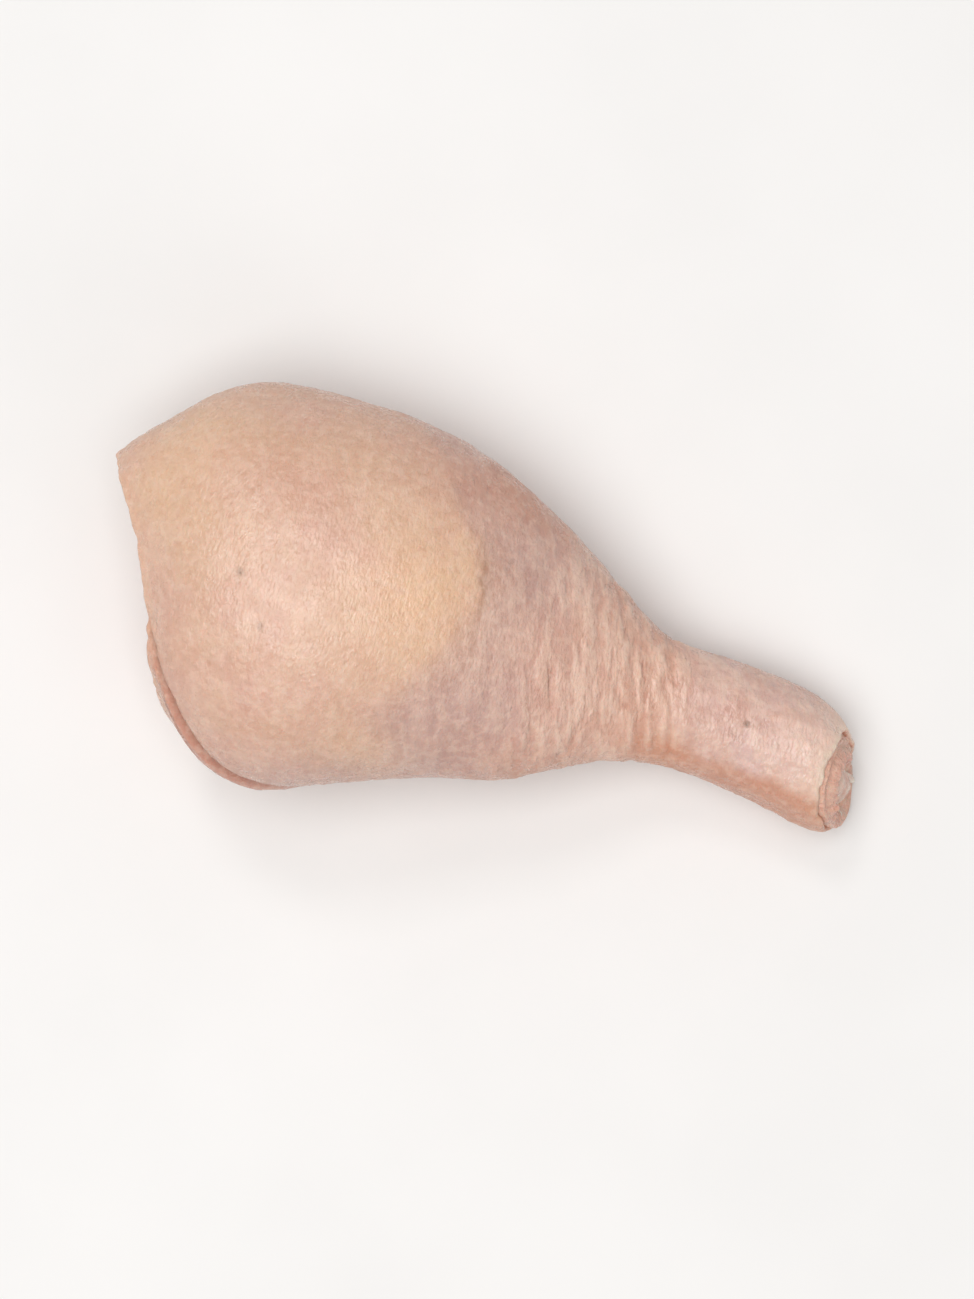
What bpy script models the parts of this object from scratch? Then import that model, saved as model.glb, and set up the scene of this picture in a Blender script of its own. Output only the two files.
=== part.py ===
"""A raw chicken drumstick with its skin on, cut off at the knee and at the ankle, lying on its side.

It has two solids. The leg is skin and flesh in one piece, and the shin bone runs through it
and shows at both cuts. +X runs along the leg from the knee to the ankle, +Y points to the
shin side, -Y to the calf side and +Z up. The origin is on the table, below the middle of the
leg's bounding box.
"""

import math
from typing import NamedTuple

import bmesh
import bpy

MM = 0.001

# Driving dimensions of the leg
LENGTH = 140.0 * MM
CALF_WIDTH = 68.0 * MM
CALF_HEIGHT = 50.0 * MM

# Skin and cuts
KNEE_SKIN_EDGE = 2.4 * MM
ANKLE_SKIN_EDGE = 1.3 * MM
KNEE_CUT_DEPTH = 6.5 * MM
KNEE_CUT_LEAN_Y = -0.56
KNEE_CUT_LEAN_Z = -0.14
ANKLE_CUT_DEPTH = 2.2 * MM
ANKLE_CUT_LEAN_Y = -0.12
ANKLE_CUT_LEAN_Z = -0.30

# The bone, and the gap between it and the flesh round it
BONE_WIDTH = 20.0 * MM
BONE_HEIGHT = 17.0 * MM
BONE_GAP = 0.45 * MM
KNEE_GROOVE = 1.4 * MM
ANKLE_GROOVE = 3.2 * MM

# How finely the soft forms are made
CAGE_SIDES = 12
LEG_LEVELS = 2
BONE_LEVELS = 1
LEG_SQUARENESS = 2.2
BONE_SQUARENESS = 2.0


class Section(NamedTuple):
    """One ring of a cage, across the leg: where it is, its size, and how it leans."""

    x: float
    y: float
    z: float
    width: float
    height: float
    lean_y: float = 0.0
    lean_z: float = 0.0
    ragged: float = 0.0
    groove: float = 0.0


def leg_section(x, y, z, width, height, lean_y=0.0, lean_z=0.0, ragged=0.0, groove=0.0):
    """A ring of the skin, as shares of the leg's length, the calf's width and the calf's height.
    Ragged and groove are in millimetres."""
    return Section(
        x * LENGTH,
        y * CALF_WIDTH,
        z * CALF_HEIGHT,
        width * CALF_WIDTH,
        height * CALF_HEIGHT,
        lean_y,
        lean_z,
        ragged * MM,
        groove * MM,
    )


def skin_sections():
    """The outside of the skin from the knee's cut edge to the ankle's."""
    knee = (KNEE_CUT_LEAN_Y, KNEE_CUT_LEAN_Z)
    ankle = (ANKLE_CUT_LEAN_Y, ANKLE_CUT_LEAN_Z)
    return [
        leg_section(0.103, -0.060, 0.46, 0.52, 0.58, *knee, ragged=0.6, groove=4.4),
        leg_section(0.124, -0.030, 0.46, 0.71, 0.76, 0.5 * knee[0], 0.7 * knee[1], ragged=0.3, groove=1.2),
        leg_section(0.170, 0.017, 0.474, 0.955, 0.94, 0.3 * knee[0], 0.4 * knee[1]),
        leg_section(0.275, -0.002, 0.484, 1.028, 1.045, 0.08 * knee[0], 0.0),
        leg_section(0.385, 0.042, 0.472, 0.940, 1.005),
        leg_section(0.487, 0.062, 0.435, 0.780, 0.85),
        leg_section(0.575, 0.018, 0.392, 0.664, 0.67),
        leg_section(0.650, 0.026, 0.345, 0.474, 0.50),
        leg_section(0.715, 0.014, 0.298, 0.304, 0.385),
        leg_section(0.800, 0.021, 0.254, 0.306, 0.380),
        leg_section(0.880, 0.008, 0.225, 0.334, 0.420),
        leg_section(0.945, -0.024, 0.212, 0.326, 0.450),
        leg_section(0.990, -0.053, 0.205, 0.240, 0.400, *ankle, ragged=0.4),
    ]


def bone_sections():
    """The shin bone: the knee's two shallow plateaus, the shaft, and the ankle's two knuckles."""
    knee = (0.8 * KNEE_CUT_LEAN_Y, 0.8 * KNEE_CUT_LEAN_Z)
    ankle = (0.8 * ANKLE_CUT_LEAN_Y, 0.8 * ANKLE_CUT_LEAN_Z)
    ends = {"x": (-0.425, 0.490), "y": (-0.015, -0.048), "z": (0.465, 0.21)}

    def on_bone(share, width, height, leans=(0.0, 0.0), groove=0.0):
        x, y, z = (low + (high - low) * share for low, high in ends.values())
        return Section(
            x * LENGTH + 0.5 * LENGTH,
            y * CALF_WIDTH,
            z * CALF_HEIGHT,
            width * BONE_WIDTH,
            height * BONE_HEIGHT,
            *leans,
            groove=groove,
        )

    return [
        on_bone(0.004, 0.52, 0.56, knee, groove=KNEE_GROOVE),
        on_bone(0.000, 0.90, 0.86, knee, groove=KNEE_GROOVE),
        on_bone(0.022, 1.02, 1.02, knee),
        on_bone(0.075, 0.86, 0.86, (0.6 * knee[0], 0.6 * knee[1])),
        on_bone(0.160, 0.50, 0.52),
        on_bone(0.330, 0.37, 0.40),
        on_bone(0.640, 0.34, 0.36),
        on_bone(0.820, 0.40, 0.44),
        on_bone(0.920, 0.55, 0.62),
        on_bone(0.968, 0.56, 0.68, ankle, groove=0.25 * ANKLE_GROOVE),
        on_bone(1.000, 0.50, 0.60, ankle, groove=0.8 * ANKLE_GROOVE),
        on_bone(1.004, 0.24, 0.30, ankle, groove=ANKLE_GROOVE),
    ]


def grown(section, by, x_shift=0.0):
    """The same ring, larger by this much all round and moved along the leg."""
    return section._replace(
        x=section.x + x_shift,
        width=section.width + 2 * by,
        height=section.height + 2 * by,
    )


def between(first, second, share):
    """The ring part way from one ring to another."""
    return Section(*(a + (b - a) * share for a, b in zip(first, second)))


def cut_sections(rim, edge, mouth, depth):
    """The cut end inside the skin's edge: the edge's inner side, the hollow behind it, and the flesh
    that rises again to the bone's mouth. Depth is measured into the leg, so it is negative at the ankle."""
    lip = grown(rim, -edge, 0.25 * depth)
    hollow = grown(rim, -1.6 * edge, depth)
    mound = between(hollow._replace(x=hollow.x - 0.25 * depth), mouth, 0.5)
    return [lip, hollow, mound._replace(ragged=0.0, groove=0.0)]


def ring_points(section, squareness):
    """The ring's points. They lie a little outside the wanted form, because subdivision draws them in."""
    swell = 3.0 / (2.0 + math.cos(2.0 * math.pi / CAGE_SIDES))
    power = 2.0 / squareness
    points = []
    for side in range(CAGE_SIDES):
        angle = 2.0 * math.pi * side / CAGE_SIDES
        across, up = math.cos(angle), math.sin(angle)
        y = 0.5 * section.width * swell * math.copysign(abs(across) ** power, across)
        z = 0.5 * section.height * swell * math.copysign(abs(up) ** power, up)
        x = section.x + section.lean_y * y + section.lean_z * z
        x += section.ragged * (math.sin(2.0 * angle + 0.6) + 0.6 * math.sin(5.0 * angle + 1.9))
        x -= section.groove * across**2
        points.append((x, section.y + y, section.z + z))
    return points


def lofted(name, sections, squareness, as_tube):
    """A mesh through the rings, in order. A tube's last ring joins its first, and otherwise both ends are capped."""
    cage = bmesh.new()
    rings = [[cage.verts.new(p) for p in ring_points(s, squareness)] for s in sections]
    followers = rings[1:] + (rings[:1] if as_tube else [])
    for ring, following in zip(rings, followers):
        for side in range(CAGE_SIDES):
            after = (side + 1) % CAGE_SIDES
            cage.faces.new((ring[side], ring[after], following[after], following[side]))
    if not as_tube:
        cage.faces.new(rings[0])
        cage.faces.new(rings[-1])
    bmesh.ops.recalc_face_normals(cage, faces=cage.faces)
    mesh = bpy.data.meshes.new(name)
    cage.to_mesh(mesh)
    cage.free()
    mesh.shade_smooth()
    return mesh


def material(name, colour, roughness):
    """A plain glossy or dull surface. Nothing on a drumstick is metallic."""
    made = bpy.data.materials.new(name)
    made.use_nodes = True
    shader = made.node_tree.nodes["Principled BSDF"]
    shader.inputs["Base Color"].default_value = (*colour, 1.0)
    shader.inputs["Roughness"].default_value = roughness
    shader.inputs["Metallic"].default_value = 0.0
    return made


def soft_object(name, mesh, levels, collection, parent):
    """An object whose coarse cage is rounded by subdivision."""
    made = bpy.data.objects.new(name, mesh)
    collection.objects.link(made)
    made.parent = parent
    rounding = made.modifiers.new("rounding", "SUBSURF")
    rounding.levels = levels
    rounding.render_levels = levels
    return made


def make_leg(collection, parent):
    """Skin and flesh: one ring-shaped solid, as the bone's tunnel runs from cut to cut."""
    skin = skin_sections()
    bone = bone_sections()
    tunnel = [grown(section, BONE_GAP) for section in bone[2:-2]]
    knee_cut = cut_sections(skin[0], KNEE_SKIN_EDGE, tunnel[0], KNEE_CUT_DEPTH)
    ankle_cut = cut_sections(skin[-1], ANKLE_SKIN_EDGE, tunnel[-1], -ANKLE_CUT_DEPTH)
    sections = tunnel[::-1] + knee_cut[::-1] + skin + ankle_cut
    mesh = lofted("leg", sections, LEG_SQUARENESS, as_tube=True)
    mesh.materials.append(material("skin", (0.80, 0.55, 0.41), 0.45))
    return soft_object("leg", mesh, LEG_LEVELS, collection, parent)


def make_bone(collection, parent):
    """The shin bone, with the gristle that caps both its ends."""
    mesh = lofted("bone", bone_sections(), BONE_SQUARENESS, as_tube=False)
    mesh.materials.append(material("gristle", (0.82, 0.76, 0.70), 0.3))
    return soft_object("bone", mesh, BONE_LEVELS, collection, parent)


def flatten_underside(leg, cutters, parent):
    """Takes off what would sink into the table, so the calf and the ankle lie on small flats."""
    thickness = 0.5 * CALF_HEIGHT
    bpy.ops.mesh.primitive_cube_add(size=1.0, location=(0.5 * LENGTH, 0.0, -0.5 * thickness))
    table = bpy.context.active_object
    table.name = "table"
    table.scale = (2.0 * LENGTH, 2.0 * CALF_WIDTH, thickness)
    for owner in list(table.users_collection):
        owner.objects.unlink(table)
    cutters.objects.link(table)
    table.parent = parent
    table.hide_render = True
    table.display_type = "WIRE"
    flat = leg.modifiers.new("flat underside", "BOOLEAN")
    flat.operation = "DIFFERENCE"
    flat.solver = "EXACT"
    flat.object = table


def centre_over_origin(parent, leg):
    """Moves everything sideways until the leg's bounding box is centred on the origin."""
    bpy.context.view_layer.update()
    graph = bpy.context.evaluated_depsgraph_get()
    corners = [leg.matrix_world @ v.co for v in leg.evaluated_get(graph).to_mesh().vertices]
    for axis in (0, 1):
        low = min(corner[axis] for corner in corners)
        high = max(corner[axis] for corner in corners)
        parent.location[axis] = -0.5 * (low + high)


def main():
    for old in list(bpy.data.objects):
        bpy.data.objects.remove(old)
    parts = bpy.data.collections.new("chicken drumstick")
    cutters = bpy.data.collections.new("cutters")
    for collection in (parts, cutters):
        bpy.context.scene.collection.children.link(collection)
    parent = bpy.data.objects.new("drumstick", None)
    parts.objects.link(parent)
    leg = make_leg(parts, parent)
    make_bone(parts, parent)
    flatten_underside(leg, cutters, parent)
    centre_over_origin(parent, leg)


main()
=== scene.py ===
"""Dresses the raw chicken drumstick: skin, the flesh in its two cuts, and the bone's ends.

The skin is measured from the frame's own solid, ring by ring along the bone, and then gets its relief.
"""

import math

import bpy
import numpy as np
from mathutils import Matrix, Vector, noise
from mathutils.bvhtree import BVHTree


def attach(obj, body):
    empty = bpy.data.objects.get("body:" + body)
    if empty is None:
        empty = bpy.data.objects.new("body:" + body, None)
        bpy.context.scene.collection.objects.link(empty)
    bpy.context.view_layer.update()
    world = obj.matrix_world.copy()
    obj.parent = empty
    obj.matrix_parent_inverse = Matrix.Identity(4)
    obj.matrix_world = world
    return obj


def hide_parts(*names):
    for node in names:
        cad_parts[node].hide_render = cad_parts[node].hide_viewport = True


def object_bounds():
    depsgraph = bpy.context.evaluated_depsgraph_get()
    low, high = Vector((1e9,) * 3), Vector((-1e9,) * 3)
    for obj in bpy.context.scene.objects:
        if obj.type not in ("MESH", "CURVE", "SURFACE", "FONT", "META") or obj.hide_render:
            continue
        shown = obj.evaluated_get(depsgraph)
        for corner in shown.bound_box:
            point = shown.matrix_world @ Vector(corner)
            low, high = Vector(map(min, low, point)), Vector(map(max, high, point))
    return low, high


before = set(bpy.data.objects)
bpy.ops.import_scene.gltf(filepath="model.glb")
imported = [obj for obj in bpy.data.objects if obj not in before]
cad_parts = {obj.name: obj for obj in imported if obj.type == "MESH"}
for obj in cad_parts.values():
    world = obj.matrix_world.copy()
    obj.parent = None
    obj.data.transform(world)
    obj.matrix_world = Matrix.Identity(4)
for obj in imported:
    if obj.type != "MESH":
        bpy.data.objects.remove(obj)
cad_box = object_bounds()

MM = 0.001

# The cuts, as the part has them: how far each plane leans along the leg for a step to the side or up
KNEE_LEAN = (-0.56, -0.14)
ANKLE_LEAN = (-0.12, -0.30)
KNEE_LEAN_FADES = 55.0 * MM
ANKLE_LEAN_FADES = 22.0 * MM

# How far from the bone's ends its axis is measured
KNEE_END = 12.0 * MM
ANKLE_END = 8.0 * MM

# The rings that the skin, the bare strip and each cut are made of
RINGS = 300
SIDES = 276
BARE_RINGS = 14
CUT_RINGS = 44

# The skin is looked for from outside this radius, and its ends from this far past the bone's ends
SEARCH_RADIUS = 70.0 * MM
SEARCH_STEP = 0.4 * MM
SEARCH_PAST_KNEE = 14.0 * MM
SEARCH_PAST_ANKLE = 10.0 * MM

# How widely the measured skin is smoothed, in rings and in sides
SMOOTH_RINGS = 4.5
SMOOTH_SIDES = 4.0

# The skin's thickness at its two cuts
KNEE_THICKNESS = 1.5 * MM
ANKLE_THICKNESS = 1.05 * MM

# The rings of the skin's cut edge, from the rim on: how far in towards the leg's middle each lies, and how
# far along the leg, in thicknesses. The knee's flesh starts at this ring, on the edge's inner side
CUT_EDGE = [
    (0.10, -0.10),
    (0.35, -0.22),
    (0.70, -0.18),
    (0.95, 0.10),
    (1.02, 0.60),
    (1.08, 1.40),
    (1.30, 3.00),
]
LIP_RING = 5

# The flesh in the two cuts. Into is the way into the leg along x. The mouth round the bone lies this far in
# from the end of the bone's axis, and the flesh is this hollow. Its muscles have this size and height, all in
# mm. Past the rim's share of the way out, it is the pale tissue under the skin. It has faded by its paleness
KNEE_CUT = {
    "into": 1.0,
    "mouth": 4.0,
    "hollow": 2.0,
    "size": 10.0,
    "height": 2.4,
    "rim": 0.80,
    "paleness": 0.0,
}
ANKLE_CUT = {
    "into": -1.0,
    "mouth": -0.5,
    "hollow": 0.6,
    "size": 4.6,
    "height": 0.3,
    "rim": 0.25,
    "paleness": 0.4,
}

# How far the cut flesh stands out in lumps and in grain, in mm, and how far its muscles are bent out of their
# round form, as a share of their size
FLESH_LUMPS = 0.5
FLESH_GRAIN = 0.25
MUSCLE_BENDS = 0.3

# How far the flesh reaches into the bone's surface, so that no gap shows round it
BONE_GRIP = 1.5 * MM

# The pad of fat ends in a curve across the leg. This is where it reaches furthest, and how gently it bends
# back towards the knee on its low side and on its high side, in mm
FAT_EDGE_X = -5.0
FAT_EDGE_Y = 8.0
FAT_BEND_LOW = 60.0
FAT_BEND_HIGH = 36.0

# That edge wanders this far in wide waves and in small ones, and fades over this much, in mm
FAT_EDGE_WAVES = 2.2
FAT_EDGE_RIPPLES = 1.3
FAT_EDGE_SOFTNESS = 2.4

# Painted shade lies in a thin strip at the foot of the fat's step, along the middle of that edge: where
# across the leg, its half-length and half-width, in mm
FAT_STEP_SHADE_Y = 11.0
FAT_STEP_SHADE_LENGTH = 6.0
FAT_STEP_SHADE_WIDTH = 0.6

# A fold of skin starts at the knee's cut and runs off along the calf's side. Its crease starts at this angle
# and turns this much further round, in degrees. The run over which it turns, its length and its radius round
# the bone are in mm
FOLD_FROM = 126.0
FOLD_TURN = 45.0
FOLD_RUN = 7.5
FOLD_LENGTH = 32.0
FOLD_RADIUS = 20.0

# Where the parts of the leg fade in or out, along it, in mm
GREY_ENDS = (6.0, 26.0)
NECK_STARTS = (2.0, 16.0)
NECK_ENDS = (30.0, 38.0)
SHANK_STARTS = (28.0, 38.0)
# Where the painted shade on the shank's low side fades in along the leg
LOW_SHADE_STARTS = (22.0, 36.0)

# Where the painted shade on the shank's low side starts and ends round the bone, in degrees
LOW_SHADE_FROM = (100.0, 128.0)
LOW_SHADE_TO = (200.0, 240.0)

# The fine wrinkles lie across the leg, leaning back towards the knee
WRINKLE_LEAN = 0.30

# The skin has drawn back from the ankle's cut, more on the upper side and unevenly, in mm
ANKLE_BARE_UNDER = 1.0
ANKLE_BARE_TOP = 1.8
ANKLE_UNEVEN = 0.45

# The bare strip starts just under the skin's edge, by this share of its own length. It lies this far in from
# the skin's surface, and its strands stand out this far
STRIP_UNDER_SKIN = -0.012
FLESH_INSET = 0.95 * MM
FLESH_STRANDS = 0.28 * MM

# How far the bare strip keeps off the table
FLESH_OFF_TABLE = 0.2 * MM

# Where a cut's rim is drawn back, its flesh swells out round the bone. How far back the rim lies is measured
# from this far past the flesh's mouth, along x, and the flesh swells by this share of it
COLLAR_REACH = 3.0 * MM
COLLAR = 0.8

# The bone's end at the knee, in mm: how far it lies back from the frame's, so that the skin's lip hides it
# from above, and its two shallow cups, which lie this far from the middle, with the groove between them
BONE_SET_BACK = 1.6
CUP_SPACING = 4.6
CUP_WIDTH = 3.2
CUP_DEPTH = 2.3
GROOVE_WIDTH = 1.7
GROOVE_DEPTH = 2.6

# That end leans by this share of the knee's lean, and its forms fade out this far along the bone, in mm
BONE_LEAN = 0.8
BONE_END_FADES = 6.0

# How finely the bone is rounded, and how far its swells and its grain stand out, in mm
BONE_ROUNDING = 2
BONE_SWELLS = 0.45
BONE_GRAIN = 0.10

# Where the skin is creased right across the neck, along the leg, and a crease's half-width, in mm
NECK_FOLDS = (26.6, 29.4, 32.4)
NECK_FOLD_WIDTH = 0.75

# How far the skin's details stand out of its plain form, or sink in, in mm
SWELLS = 0.45
PIMPLES = 0.30
STRANDS = 0.30
WRINKLES = 0.26
CREASES = 0.38
FOLD_HEIGHT = 0.8
FOLD_DEPTH = 1.0
FAT_STEP = 0.30
KNEE_PUCKERS = 0.55
ANKLE_PUCKERS = 0.22
RAGGED_CUT = 0.5
GRAIN = 0.07

# How far apart the pimples are, in mm, and how large, as a share of that
PIMPLE_SPACING = 2.7
PIMPLE_SIZE = 0.32

# How far the looks, the puckers and the ragged form of the cuts reach along the skin, in mm
KNEE_EDGE_REACH = 2.2
ANKLE_EDGE_REACH = 1.3
ANKLE_PALE_REACH = 9.0
KNEE_PUCKER_REACH = 7.0
ANKLE_PUCKER_REACH = 5.0
KNEE_RAGGED_REACH = 5.0
ANKLE_RAGGED_REACH = 4.0

# The ankle's cut is less ragged than the knee's: it has this share of it
ANKLE_RAGGED_SHARE = 0.6

# Patches of colour in the skin's upper side: x, y, half-length and half-width, in mm, and strength
YELLOW_PATCHES = [
    (-13.0, 5.0, 11.0, 13.0, 1.0),
    (-58.0, 16.0, 9.0, 14.0, 0.8),
    (34.0, -6.0, 5.0, 6.0, 0.7),
    (-15.0, -22.5, 7.0, 4.5, 0.8),
]
FLUSHED_PATCHES = [
    (-39.0, 17.0, 9.0, 7.0, 1.0),
    (-34.0, 31.0, 24.0, 6.0, 0.6),
    (-20.0, -8.0, 5.0, 4.0, 0.5),
    (-50.0, -20.0, 9.0, 9.0, 0.6),
    (8.0, 2.0, 6.0, 7.0, 0.9),
    (43.0, 4.0, 6.0, 4.0, 0.6),
]
# Painted shade: darker, browner patches along the neck's top and low edges, in the same columns
EDGE_SHADE_PATCHES = [
    (2.0, 28.0, 16.0, 7.0, 1.0),
    (16.0, -19.0, 14.0, 5.0, 0.7),
]

# Small dark marks in the skin's upper side: x, y and radius, in mm
MARKS = [(-42.5, 0.0, 0.55), (46.2, 1.3, 0.50), (-36.7, -7.6, 0.40)]

# Tendons cut off short: x, angle round the axis, distance from it, length and width, in mm and degrees
TENDON_STUBS = [
    (-54.0, 215.0, 12.5, 4.5, 2.8),
    (-55.0, 330.0, 12.0, 4.0, 3.2),
    (65.5, 215.0, 6.4, 2.6, 2.1),
    (65.8, 285.0, 6.8, 2.8, 1.8),
]

# The tendons' grids, how deep their roots are set and how ragged they are, in mm
TENDON_RINGS = 9
TENDON_SIDES = 14
TENDON_ROOT = 2.0
TENDON_RAGS = 0.12

# How much narrower a tendon is at its tip, and how far the tip droops, in widths
TENDON_TAPER = 0.35
TENDON_DROOP = 0.30

# The colours that the skin's looks lay over its ground, in order: the look, its share at most and its tone.
# The second list comes after the shank's own colours
SKIN_TINTS = [
    ("yellow", 0.70, (228, 186, 150)),
    ("flush", 0.60, (208, 160, 140)),
    ("neck", 0.45, (228, 180, 158)),
]
EDGE_TINTS = [
    # Partly the skin's own orange tone in its creases, partly painted shade there
    ("crease", 0.38, (186, 122, 98)),
    # Painted shade at the foot of the fat's step
    ("fat_step_shade", 0.60, (168, 122, 96)),
    # Painted shade: the skin darker and browner where it turns from the light to face sideways and down
    ("side", 0.48, (190, 128, 98)),
    ("fold", 0.75, (202, 146, 128)),
    # Painted shade in the fold's crease, which is also sunk
    ("fold_crease", 0.75, (156, 98, 80)),
    ("ankle_edge", 1.00, (234, 206, 186)),
    ("knee_edge", 0.60, (226, 184, 156)),
]

# The studio's soft lights: name, place and size in metres, and power in watts. The sky adds some all round
LIGHTS = [
    ("overhead", (-0.20, -0.13, 1.35), 1.00, 13.9),
    ("fill", (0.80, -0.60, 0.80), 0.80, 1.7),
    ("window", (-0.50, 0.60, 1.10), 0.26, 2.0),
]
SKY_STRENGTH = 0.33
FLOOR_SIZE = 6.0

# The camera looks straight down, as in the photo
PHOTO_TURN = math.radians(17.5)
LEG_SHARE_OF_WIDTH = 0.80
CAMERA_HEIGHT = 0.75
SENSOR = 36.0
PHOTO_WIDTH = 974
PHOTO_HEIGHT = 1299


def smooth_step(value, low, high):
    """0 below low, 1 above high, and a soft rise between them."""
    t = np.clip((value - low) / (high - low), 0.0, 1.0)
    return t * t * (3.0 - 2.0 * t)


def bump_at(value, centre, half_width):
    """A soft hump of height 1 round a centre."""
    return np.exp(-(((value - centre) / half_width) ** 2))


def fading(gap, reach):
    """1 at a cut, and less with the distance from it. The gap is in metres and the reach in mm."""
    return np.exp(-gap / (reach * MM))


def lumps(points, size, octaves=3, seed=0.0):
    """Smooth noise of about -1 to 1 at each point. Size is that of its lumps along x, y and z, in mm."""
    scaled = points.reshape(-1, 3) / (np.array(size) * MM) + np.array([seed, 1.7 * seed, -2.3 * seed])
    values = [noise.fractal(Vector(p), 1.0, 2.0, octaves) for p in scaled]
    return np.array(values).reshape(points.shape[:-1])


def folds(points, size, seed=0.0):
    """Sharp-edged creases between soft folds: 1 on a crease and about 0 on a fold."""
    return 1.0 - np.clip(np.abs(lumps(points, size, 2, seed)) * 4.5, 0.0, 1.0)


def cells(points, size, seed=0.0):
    """Distance to the nearest scattered spot and to the next nearest, in spots' spacings."""
    scaled = points.reshape(-1, 3) / (size * MM) + np.array([seed, 1.7 * seed, -2.3 * seed])
    found = [noise.voronoi(Vector(p))[0][:2] for p in scaled]
    return np.array(found).reshape(*points.shape[:-1], 2)


def blurred(grid, rings_wide, sides_wide):
    """The grid smoothed along the leg and round it. Rounds wrap, and the ends keep their place."""
    out = grid
    for axis, width in ((0, rings_wide), (1, sides_wide)):
        reach = int(3 * width)
        weights = np.exp(-0.5 * (np.arange(-reach, reach + 1) / width) ** 2)
        weights /= weights.sum()
        if axis == 0:
            before = 2 * out[:1] - out[reach:0:-1]
            after = 2 * out[-1:] - out[-2 : -reach - 2 : -1]
            padded = np.concatenate([before, out, after])
            out = sum(w * padded[i : i + len(grid)] for i, w in enumerate(weights))
        else:
            out = sum(w * np.roll(out, i - reach, axis=1) for i, w in enumerate(weights))
    return out


def mesh_tree(node):
    """The search tree of a frame node's mesh."""
    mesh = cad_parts[node].data
    mesh.calc_loop_triangles()
    corners = [v.co.copy() for v in mesh.vertices]
    return BVHTree.FromPolygons(corners, [tuple(t.vertices) for t in mesh.loop_triangles])


class Spine:
    """The bone's axis, and the leaned rings across the leg round it."""

    def __init__(self):
        points = np.array([v.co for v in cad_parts["bone"].data.vertices])
        low, high = points[:, 0].min(), points[:, 0].max()
        knee_end = points[points[:, 0] < low + KNEE_END]
        ankle_end = points[points[:, 0] > high - ANKLE_END]
        self.knee = 0.5 * (knee_end.min(0) + knee_end.max(0))
        self.ankle = 0.5 * (ankle_end.min(0) + ankle_end.max(0))

    def centre(self, x):
        """The axis at x, which may lie beyond the bone."""
        share = (np.asarray(x) - self.knee[0]) / (self.ankle[0] - self.knee[0])
        return self.knee + share[..., None] * (self.ankle - self.knee)

    def outward(self, x, angle):
        """The way out from the axis at x, at this angle, along the ring that leans there."""
        knee = 1.0 - smooth_step(x, self.knee[0], self.knee[0] + KNEE_LEAN_FADES)
        ankle = smooth_step(x, self.ankle[0] - ANKLE_LEAN_FADES, self.ankle[0])
        lean_y = KNEE_LEAN[0] * knee + ANKLE_LEAN[0] * ankle
        lean_z = KNEE_LEAN[1] * knee + ANKLE_LEAN[1] * ankle
        across, up = np.cos(angle), np.sin(angle)
        way = np.stack([lean_y * across + lean_z * up, across, up], axis=-1)
        return way / np.linalg.norm(way, axis=-1, keepdims=True)


def ring_angles():
    """The angle round the bone of each point of a ring."""
    return 2.0 * math.pi * np.arange(SIDES) / SIDES


def first_hit(tree, centre, way):
    """The outermost point of the solid on the ray that leaves the centre this way, or None."""
    start = Vector(centre + way * SEARCH_RADIUS)
    return tree.ray_cast(start, Vector(-way), SEARCH_RADIUS)[0]


def rims(tree, spine, angles):
    """How far along the axis the skin reaches at each angle, at the knee and at the ankle."""
    past_knee = spine.knee[0] - SEARCH_PAST_KNEE
    past_ankle = spine.ankle[0] + SEARCH_PAST_ANKLE
    found = []
    for start, step in ((past_knee, SEARCH_STEP), (past_ankle, -SEARCH_STEP)):
        rim = []
        for angle in angles:
            x = start
            while first_hit(tree, spine.centre(x), spine.outward(x, angle)) is None:
                x += step
            rim.append(x + 0.5 * step)
        found.append(np.array(rim))
    return found


def sampled_skin(tree, spine):
    """The leg's outside as rings of points, from the knee's rim to the ankle's."""
    angles = ring_angles()
    knee_rim, ankle_rim = rims(tree, spine, angles)
    share = np.linspace(0.0, 1.0, RINGS + 1)[:, None]
    x = knee_rim + (ankle_rim - knee_rim) * share
    angle = np.broadcast_to(angles, x.shape)
    centres, ways = spine.centre(x), spine.outward(x, angle)
    points = np.zeros((*x.shape, 3))
    for ring in np.ndindex(x.shape):
        hit = first_hit(tree, centres[ring], ways[ring])
        points[ring] = np.nan if hit is None else hit
    return filled(points)


def filled(points):
    """The rings with any point that a ray missed taken from its neighbour nearer the middle."""
    middle = len(points) // 2
    for order in (range(middle, -1, -1), range(middle, len(points))):
        last = points[middle]
        for ring in order:
            missed = np.isnan(points[ring, :, 0])
            points[ring][missed] = last[missed]
            last = points[ring]
    return points


def outward_ways(points):
    """The outward way at each point of the rings."""
    along = np.gradient(points, axis=0)
    around = np.roll(points, -1, axis=1) - np.roll(points, 1, axis=1)
    way = np.cross(around, along)
    return way / np.linalg.norm(way, axis=-1, keepdims=True)


def past_fold(knee_gap, degrees):
    """How far a point lies past the crease of the fold, in mm. It is negative on the calf's own skin."""
    crease = FOLD_FROM + FOLD_TURN * (1.0 - fading(knee_gap, FOLD_RUN))
    return np.radians(degrees - crease) * FOLD_RADIUS


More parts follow.
